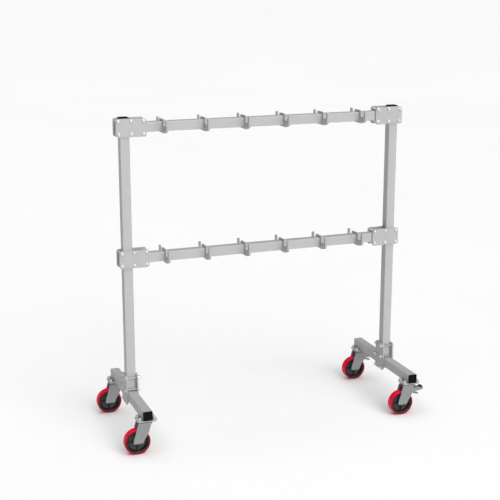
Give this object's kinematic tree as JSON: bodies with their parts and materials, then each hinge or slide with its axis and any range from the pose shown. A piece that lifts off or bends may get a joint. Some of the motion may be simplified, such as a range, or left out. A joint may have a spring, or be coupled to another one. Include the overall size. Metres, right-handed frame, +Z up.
{
  "type": "mobile hook rack",
  "caption": "Rolling hook rack: bolted square-tube frame on swivel casters, with double-sided hooks along its beams.",
  "frame": {"origin": "on the floor, midway between the two posts and midway between the front and rear casters", "axes": "+X along the beams towards the post whose casters have brakes, +Y from front to rear, +Z up"},
  "size_m": [1.3167, 0.528, 1.2955],
  "materials": {
    "frame_paint": "satin light grey powder coat",
    "plate_paint": "satin light grey powder coat",
    "hook_paint": "satin light grey powder coat",
    "black_caps": "matte black moulding",
    "fastener_zinc": "zinc plated",
    "caster_zinc": "bright zinc plated pressing",
    "wheel_core": "black moulded nylon",
    "wheel_tread": "satin crimson polyurethane",
    "pedal_rubber": "matte black"
  },
  "bodies": {
    "frame": {"left_post": "frame_paint", "right_post": "frame_paint", "upper_beam": "frame_paint", "lower_beam": "frame_paint", "left_foot_bar": "frame_paint", "right_foot_bar": "frame_paint", "left_post_cap": "black_caps", "right_post_cap": "black_caps", "left_foot_caps": "black_caps", "right_foot_caps": "black_caps", "upper_left_clamp_plates": "plate_paint", "upper_right_clamp_plates": "plate_paint", "lower_left_clamp_plates": "plate_paint", "lower_right_clamp_plates": "plate_paint", "left_base_clamp_plates": "plate_paint", "right_base_clamp_plates": "plate_paint", "upper_hook_1": "hook_paint", "upper_hook_2": "hook_paint", "upper_hook_3": "hook_paint", "upper_hook_4": "hook_paint", "upper_hook_5": "hook_paint", "upper_hook_6": "hook_paint", "lower_hook_1": "hook_paint", "lower_hook_2": "hook_paint", "lower_hook_3": "hook_paint", "lower_hook_4": "hook_paint", "lower_hook_5": "hook_paint", "lower_hook_6": "hook_paint", "clamp_bolts": "fastener_zinc", "clamp_nuts": "fastener_zinc", "clamp_washers": "fastener_zinc", "caster_mounting_bolts": "fastener_zinc", "caster_mounting_nuts": "fastener_zinc", "caster_mounting_plates": "plate_paint", "left_front_caster_top_plate": "caster_zinc", "left_rear_caster_top_plate": "caster_zinc", "right_front_caster_top_plate": "caster_zinc", "right_rear_caster_top_plate": "caster_zinc"},
    "left_front_swivel": {"left_front_fork": "caster_zinc", "left_front_axle": "caster_zinc"},
    "left_front_wheel": {"left_front_wheel_core": "wheel_core", "left_front_wheel_tread": "wheel_tread"},
    "left_rear_swivel": {"left_rear_fork": "caster_zinc", "left_rear_axle": "caster_zinc"},
    "left_rear_wheel": {"left_rear_wheel_core": "wheel_core", "left_rear_wheel_tread": "wheel_tread"},
    "right_front_swivel": {"right_front_fork": "caster_zinc", "right_front_axle": "caster_zinc", "right_front_brake_pin": "caster_zinc"},
    "right_front_wheel": {"right_front_wheel_core": "wheel_core", "right_front_wheel_tread": "wheel_tread"},
    "right_front_brake": {"right_front_brake_pedal": "caster_zinc", "right_front_brake_pad": "pedal_rubber"},
    "right_rear_swivel": {"right_rear_fork": "caster_zinc", "right_rear_axle": "caster_zinc", "right_rear_brake_pin": "caster_zinc"},
    "right_rear_wheel": {"right_rear_wheel_core": "wheel_core", "right_rear_wheel_tread": "wheel_tread"},
    "right_rear_brake": {"right_rear_brake_pedal": "caster_zinc", "right_rear_brake_pad": "pedal_rubber"}
  },
  "joints": [
    {"name": "left_front_caster_swivel", "type": "hinge", "parent": "frame", "child": "left_front_swivel", "pos_m": [-0.58095, -0.23, 0.13], "axis": [0, 0, 1], "continuous": true},
    {"name": "left_front_wheel_spin", "type": "hinge", "parent": "left_front_swivel", "child": "left_front_wheel", "pos_m": [-0.61895, -0.23, 0.052], "axis": [0, 1, 0], "continuous": true},
    {"name": "left_rear_caster_swivel", "type": "hinge", "parent": "frame", "child": "left_rear_swivel", "pos_m": [-0.58095, 0.23, 0.13], "axis": [0, 0, 1], "continuous": true},
    {"name": "left_rear_wheel_spin", "type": "hinge", "parent": "left_rear_swivel", "child": "left_rear_wheel", "pos_m": [-0.61895, 0.23, 0.052], "axis": [0, 1, 0], "continuous": true},
    {"name": "right_front_caster_swivel", "type": "hinge", "parent": "frame", "child": "right_front_swivel", "pos_m": [0.58095, -0.23, 0.13], "axis": [0, 0, 1], "continuous": true},
    {"name": "right_front_wheel_spin", "type": "hinge", "parent": "right_front_swivel", "child": "right_front_wheel", "pos_m": [0.54295, -0.23, 0.052], "axis": [0, 1, 0], "continuous": true},
    {"name": "right_front_brake_press", "type": "hinge", "parent": "right_front_swivel", "child": "right_front_brake", "pos_m": [0.58395, -0.23, 0.107], "axis": [0, 1, 0], "range_deg": [0, 12]},
    {"name": "right_rear_caster_swivel", "type": "hinge", "parent": "frame", "child": "right_rear_swivel", "pos_m": [0.58095, 0.23, 0.13], "axis": [0, 0, 1], "continuous": true},
    {"name": "right_rear_wheel_spin", "type": "hinge", "parent": "right_rear_swivel", "child": "right_rear_wheel", "pos_m": [0.54295, 0.23, 0.052], "axis": [0, 1, 0], "continuous": true},
    {"name": "right_rear_brake_press", "type": "hinge", "parent": "right_rear_swivel", "child": "right_rear_brake", "pos_m": [0.58395, 0.23, 0.107], "axis": [0, 1, 0], "range_deg": [0, 12]}
  ]
}
